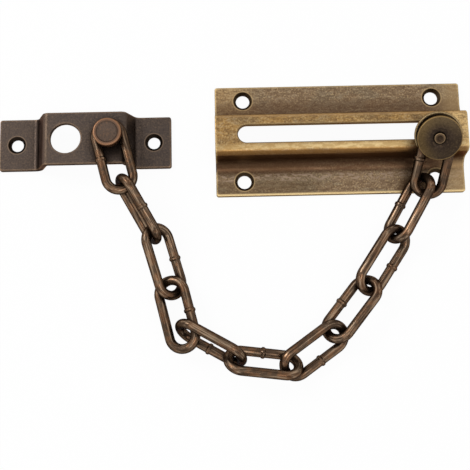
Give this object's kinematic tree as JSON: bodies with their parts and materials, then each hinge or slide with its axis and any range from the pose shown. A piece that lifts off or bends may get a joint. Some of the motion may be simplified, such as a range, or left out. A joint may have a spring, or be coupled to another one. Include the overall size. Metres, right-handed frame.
{
  "type": "door chain",
  "caption": "Surface-mounted door chain: a slotted track plate with a sliding spool knob, a welded link chain and a keeper plate with a riveted stud.",
  "frame": {"origin": "middle of the track plate's back, at the centre of its four screw holes", "axes": "+X along the slot towards the entry hole, +Y across the plate, +Z out of the track plate's face"},
  "size_m": [0.1686, 0.1074, 0.0234],
  "materials": {
    "track_brass": "antique, satin",
    "knob_bronze": "dark antique",
    "collar_bronze": "dark antique",
    "disc_bronze": "dark antique, worn bright at the rim",
    "chain_bronze": "dark antique, satin",
    "keeper_bronze": "dark antique, satin",
    "stud_bronze": "antique, coppery rim"
  },
  "bodies": {
    "track": {"track_plate": "track_brass"},
    "knob": {"slide_stud": "knob_bronze", "slide_collar": "collar_bronze", "slide_disc": "disc_bronze"},
    "chain_link_01": {"chain_link_01": "chain_bronze"},
    "chain_link_02": {"chain_link_02": "chain_bronze"},
    "chain_link_03": {"chain_link_03": "chain_bronze"},
    "chain_link_04": {"chain_link_04": "chain_bronze"},
    "chain_link_05": {"chain_link_05": "chain_bronze"},
    "chain_link_06": {"chain_link_06": "chain_bronze"},
    "chain_link_07": {"chain_link_07": "chain_bronze"},
    "chain_link_08": {"chain_link_08": "chain_bronze"},
    "chain_link_09": {"chain_link_09": "chain_bronze"},
    "chain_link_10": {"chain_link_10": "chain_bronze"},
    "chain_link_11": {"chain_link_11": "chain_bronze"},
    "keeper": {"keeper_plate": "keeper_bronze", "keeper_stud": "stud_bronze"}
  },
  "joints": [
    {"name": "knob_slide", "type": "slide", "parent": "track", "child": "knob", "axis": [1, 0, 0], "range_m": [-0.067, 0]},
    {"name": "link_01_swing", "type": "hinge", "parent": "knob", "child": "chain_link_01", "pos_m": [0.03282, -0.00419, 0.01671], "axis": [-0.1498, -0.4611, 0.8746], "range_deg": [-30, 0]},
    {"name": "link_02_swing", "type": "hinge", "parent": "chain_link_01", "child": "chain_link_02", "pos_m": [0.02663, -0.01671, 0.00744], "axis": [0, 0, 1], "range_deg": [-10, 18]},
    {"name": "link_03_swing", "type": "hinge", "parent": "chain_link_02", "child": "chain_link_03", "pos_m": [0.01728, -0.03732, 0.00658], "axis": [0, 0, 1], "range_deg": [-4, 30]},
    {"name": "link_04_swing", "type": "hinge", "parent": "chain_link_03", "child": "chain_link_04", "pos_m": [0.0102, -0.05456, 0.00428], "axis": [0, 0, -1], "range_deg": [-4, 10]},
    {"name": "link_05_swing", "type": "hinge", "parent": "chain_link_04", "child": "chain_link_05", "pos_m": [-0.00174, -0.07051, 0.00579], "axis": [0, 0, 1], "range_deg": [-8, 13]},
    {"name": "link_06_swing", "type": "hinge", "parent": "chain_link_05", "child": "chain_link_06", "pos_m": [-0.01902, -0.08314, 0.00547], "axis": [0, 0, 1], "range_deg": [-4, 40]},
    {"name": "link_07_swing", "type": "hinge", "parent": "chain_link_06", "child": "chain_link_07", "pos_m": [-0.04091, -0.07692, 0.0046], "axis": [0, 0, -1], "range_deg": [-13, 8]},
    {"name": "link_08_swing", "type": "hinge", "parent": "chain_link_07", "child": "chain_link_08", "pos_m": [-0.05661, -0.06655, 0.0087], "axis": [0, 0, 1], "range_deg": [-8, 40]},
    {"name": "link_09_swing", "type": "hinge", "parent": "chain_link_08", "child": "chain_link_09", "pos_m": [-0.05823, -0.05214, 0.00376], "axis": [0, 0, 1], "range_deg": [-9, 11]},
    {"name": "link_10_swing", "type": "hinge", "parent": "chain_link_09", "child": "chain_link_10", "pos_m": [-0.06555, -0.03595, 0.00964], "axis": [0, 0, 1], "range_deg": [-20, 13]},
    {"name": "link_11_swing", "type": "hinge", "parent": "chain_link_10", "child": "chain_link_11", "pos_m": [-0.07815, -0.01573, 0.01279], "axis": [0, 0, 1], "range_deg": [-40, 40]},
    {"name": "keeper_swing", "type": "hinge", "parent": "chain_link_11", "child": "keeper", "pos_m": [-0.08256, 0.00019, 0.01153], "axis": [0, 0, -1], "range_deg": [-45, 45]}
  ]
}
